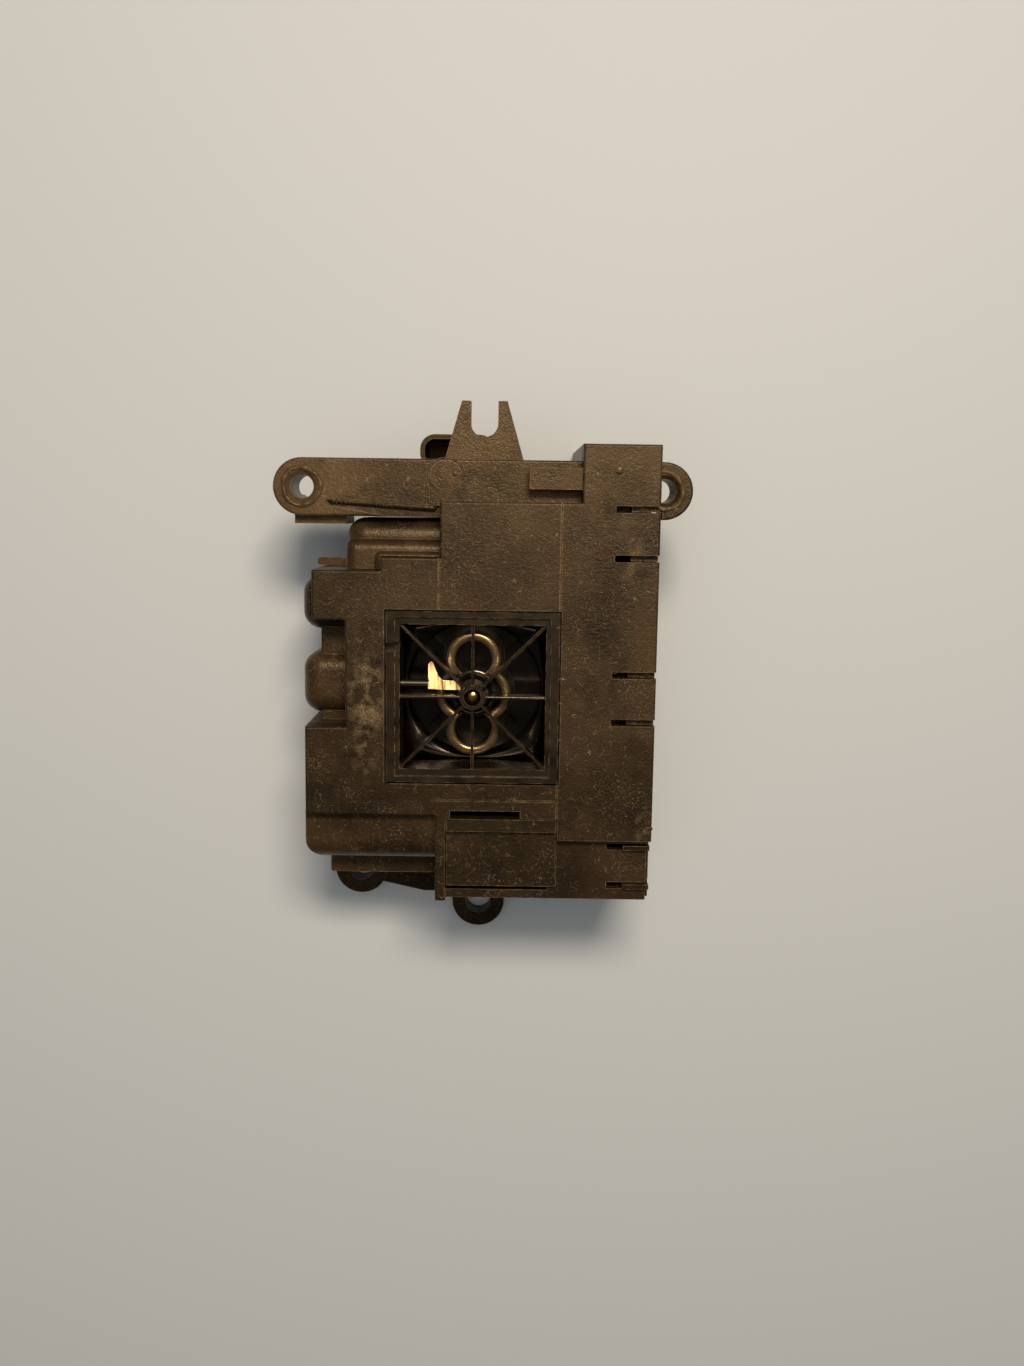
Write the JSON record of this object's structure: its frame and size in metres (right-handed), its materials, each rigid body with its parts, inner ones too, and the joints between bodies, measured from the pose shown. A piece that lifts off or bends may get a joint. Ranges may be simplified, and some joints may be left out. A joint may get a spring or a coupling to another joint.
{
  "type": "enlarger timer drive module",
  "caption": "Black moulded timer drive module: snap-together casings, a square window with a spoked bearing, an eared mounting bar, and a motor and gear train inside.",
  "frame": {"origin": "the spindle's axis at the rear face, where the drive socket opens", "axes": "+Z out of the face along the spindle, +Y towards the two-eared bar, +X towards the snap tongues"},
  "size_m": [0.0935, 0.1341, 0.052],
  "materials": {
    "casing_plastic": "moulded, fine matt texture, black",
    "glossy_plastic": "polished black moulding",
    "gear_plastic": "moulded acetal, dark",
    "plate_steel": "zinc-plated sheet",
    "shaft_steel": "ground steel",
    "screw_steel": "zinc-plated",
    "bush_brass": "sintered bronze",
    "bobbin_plastic": "natural nylon",
    "winding": "enamelled copper wire, wound",
    "magnet": "bonded ferrite",
    "switch_plastic": "black thermoset",
    "plunger_plastic": "red acetal",
    "contact_metal": "tinned brass",
    "board": "glass-epoxy laminate with solder mask",
    "relay_case": "blue case",
    "capacitor_case": "yellow epoxy case",
    "lead_sleeve": "insulated wire"
  },
  "bodies": {
    "casing": {"base_housing": "casing_plastic", "harness_shroud": "casing_plastic", "front_cover": "casing_plastic", "spider_frame": "glossy_plastic", "window_well": "glossy_plastic", "service_panel": "casing_plastic", "rear_bush": "bush_brass", "bearing_plate": "plate_steel", "plate_screws": "screw_steel", "idler_axle": "shaft_steel", "axle_clip": "screw_steel", "motor_bushes": "bush_brass", "motor_can": "plate_steel", "motor_end_plate": "plate_steel", "coil_bobbin": "bobbin_plastic", "coil_winding": "winding", "switch_case": "switch_plastic", "switch_terminals": "contact_metal", "switch_screws": "screw_steel", "circuit_board": "board", "relay": "relay_case", "film_capacitor": "capacitor_case", "capacitor_leads": "contact_metal", "connector_pins": "contact_metal", "motor_leads": "lead_sleeve"},
    "spindle_set": {"spindle": "glossy_plastic", "spindle_gear": "gear_plastic", "lobed_collar": "glossy_plastic", "retaining_ring": "screw_steel"},
    "reduction_set": {"reduction_gear": "gear_plastic"},
    "rotor_set": {"rotor_shaft": "shaft_steel", "rotor_magnet": "magnet", "motor_pinion": "bush_brass"},
    "tab": {"push_tab": "casing_plastic"},
    "plunger": {"switch_plunger": "plunger_plastic"}
  },
  "joints": [
    {"name": "spindle_turn", "type": "hinge", "parent": "casing", "child": "spindle_set", "pos_m": [0, 0, 0], "axis": [0, 0, 1], "continuous": true},
    {"name": "reduction_turn", "type": "hinge", "parent": "casing", "child": "reduction_set", "pos_m": [0.01704, -0.01193, 0], "axis": [0, 0, 1], "continuous": true},
    {"name": "rotor_turn", "type": "hinge", "parent": "casing", "child": "rotor_set", "pos_m": [0.02624, 0.004, 0], "axis": [0, 0, 1], "continuous": true},
    {"name": "tab_push", "type": "slide", "parent": "casing", "child": "tab", "axis": [1, 0, 0], "range_m": [0, 0.0012], "stiffness_N_per_m": 900, "springref_m": -0.0004},
    {"name": "plunger_push", "type": "slide", "parent": "casing", "child": "plunger", "axis": [1, 0, 0], "range_m": [0, 0.0012]}
  ],
  "couplings": [
    {"joint": "reduction_turn", "follows": "spindle_turn", "ratio": -3.3333},
    {"joint": "rotor_turn", "follows": "spindle_turn", "ratio": 12},
    {"joint": "plunger_push", "follows": "tab_push", "ratio": 1}
  ]
}
